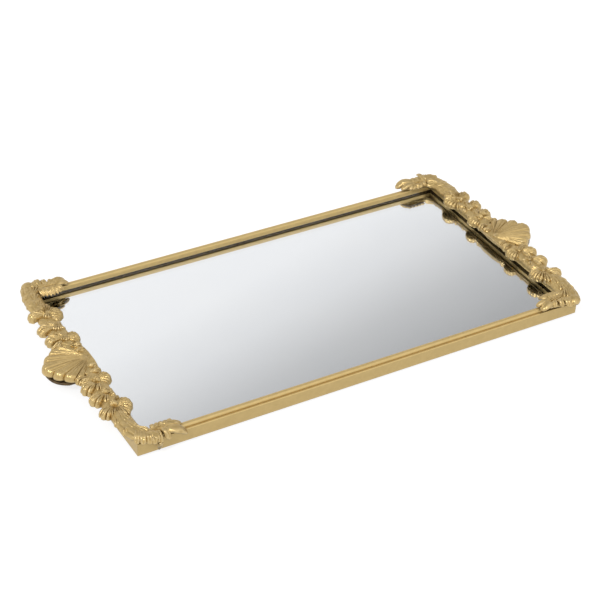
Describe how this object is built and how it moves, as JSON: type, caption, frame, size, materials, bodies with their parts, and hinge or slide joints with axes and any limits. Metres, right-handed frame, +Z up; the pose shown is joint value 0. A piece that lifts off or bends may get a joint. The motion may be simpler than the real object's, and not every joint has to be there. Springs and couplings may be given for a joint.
{
  "type": "vanity tray",
  "caption": "Rectangular mirrored dresser tray in a slim moulded frame, with scrolled leaf castings on both ends and a scallop shell handle at each.",
  "frame": {"origin": "centre of the felt underside, on the surface that the tray stands on", "axes": "+X along the long side towards the right handle, +Y towards the back rail, +Z up"},
  "size_m": [0.3962, 0.199, 0.0183],
  "materials": {
    "gold_paint": "satin",
    "mirror": "polished",
    "backing": "matte",
    "felt": "matte",
    "plated_steel": "satin"
  },
  "bodies": {
    "root": {"front_rail": "gold_paint", "back_rail": "gold_paint", "left_rail": "gold_paint", "right_rail": "gold_paint", "mirror_glass": "mirror", "backing_board": "backing", "felt_base": "felt", "corner_angle_front_left": "plated_steel", "corner_angle_front_right": "plated_steel", "corner_angle_back_left": "plated_steel", "corner_angle_back_right": "plated_steel", "glazing_point_front_1": "plated_steel", "glazing_point_front_2": "plated_steel", "glazing_point_front_3": "plated_steel", "glazing_point_back_1": "plated_steel", "glazing_point_back_2": "plated_steel", "glazing_point_back_3": "plated_steel", "glazing_point_left_1": "plated_steel", "glazing_point_left_2": "plated_steel", "glazing_point_right_1": "plated_steel", "glazing_point_right_2": "plated_steel", "left_end_casting": "gold_paint", "left_shell_handle": "gold_paint", "casting_screw_left_1": "plated_steel", "casting_screw_left_2": "plated_steel", "casting_screw_left_3": "plated_steel", "casting_screw_left_4": "plated_steel", "casting_screw_left_5": "plated_steel", "casting_screw_left_6": "plated_steel", "shell_screw_left_1": "plated_steel", "shell_screw_left_2": "plated_steel", "right_end_casting": "gold_paint", "right_shell_handle": "gold_paint", "casting_screw_right_1": "plated_steel", "casting_screw_right_2": "plated_steel", "casting_screw_right_3": "plated_steel", "casting_screw_right_4": "plated_steel", "casting_screw_right_5": "plated_steel", "casting_screw_right_6": "plated_steel", "shell_screw_right_1": "plated_steel", "shell_screw_right_2": "plated_steel"}
  },
  "joints": []
}
